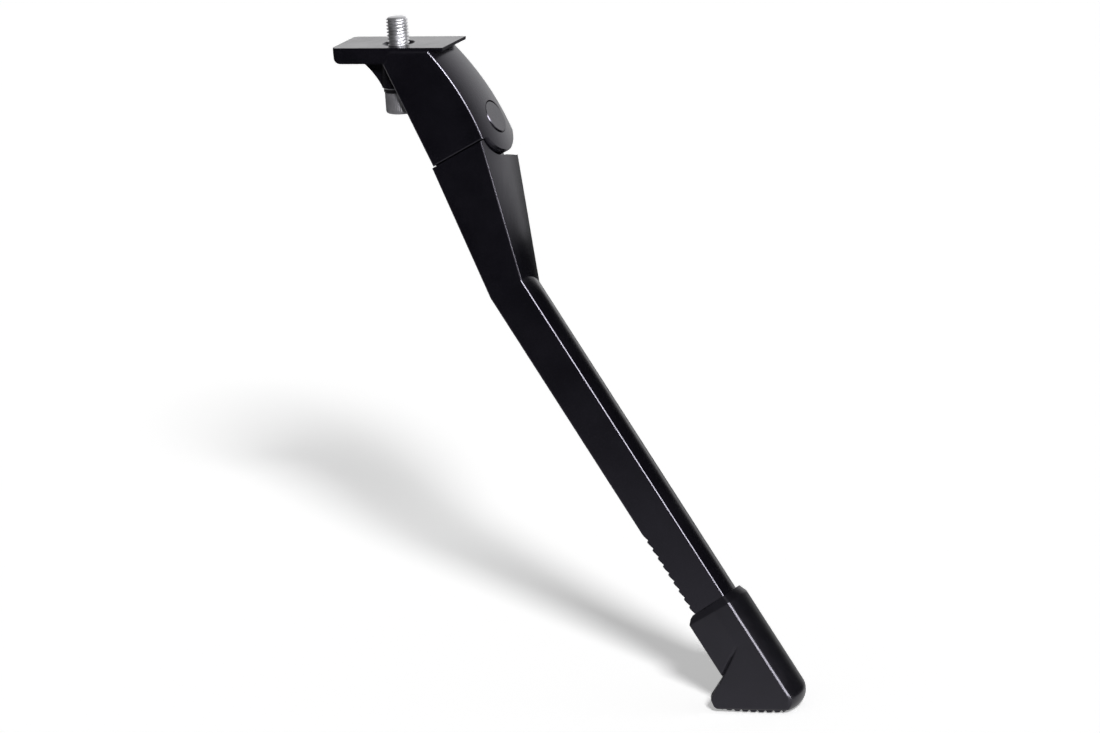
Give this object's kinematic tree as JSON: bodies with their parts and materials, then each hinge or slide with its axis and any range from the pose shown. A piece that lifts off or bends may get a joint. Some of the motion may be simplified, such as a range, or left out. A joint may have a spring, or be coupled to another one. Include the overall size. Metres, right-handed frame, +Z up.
{
  "type": "bicycle kickstand",
  "caption": "Bolt-on bicycle kickstand: cast mounting head with a tilted pivot, folding leg and a plastic foot that slides along a toothed rack.",
  "frame": {"origin": "where the axis of the mounting bolt meets the top face of the mounting plate", "axes": "+X outboard, away from the bicycle; +Y towards the rear of the bicycle; +Z up along the mounting bolt"},
  "size_m": [0.2038, 0.0371, 0.3202],
  "materials": {
    "head_paint": "satin black paint on cast aluminium",
    "leg_paint": "satin black paint on forged aluminium",
    "foot_plastic": "matt black plastic",
    "bolt_steel": "zinc-plated steel",
    "black_steel": "black oxide steel",
    "spring_steel": "bright spring steel",
    "washer_plastic": "matt nylon",
    "bush_bronze": "sintered bronze"
  },
  "bodies": {
    "head_body": {"head": "head_paint", "mounting_bolt": "bolt_steel", "bolt_washer": "black_steel", "pivot_pin": "black_steel", "pivot_circlip": "spring_steel", "outer_thrust_washer": "washer_plastic", "inner_thrust_washer": "washer_plastic", "overcentre_spring": "spring_steel"},
    "leg_body": {"leg": "leg_paint", "pivot_bush": "bush_bronze"},
    "foot_body": {"foot": "foot_plastic", "foot_latch": "spring_steel"}
  },
  "joints": [
    {"name": "leg_fold", "type": "hinge", "parent": "head_body", "child": "leg_body", "pos_m": [0.0289, 0.005, -0.04205], "axis": [0.8918, 0, 0.4524], "range_deg": [0, 95], "deforming": ["overcentre_spring"]},
    {"name": "foot_adjust", "type": "slide", "parent": "leg_body", "child": "foot_body", "axis": [-0.5135, 0, 0.8581], "range_m": [0, 0.0264], "deforming": ["foot_latch"]}
  ]
}
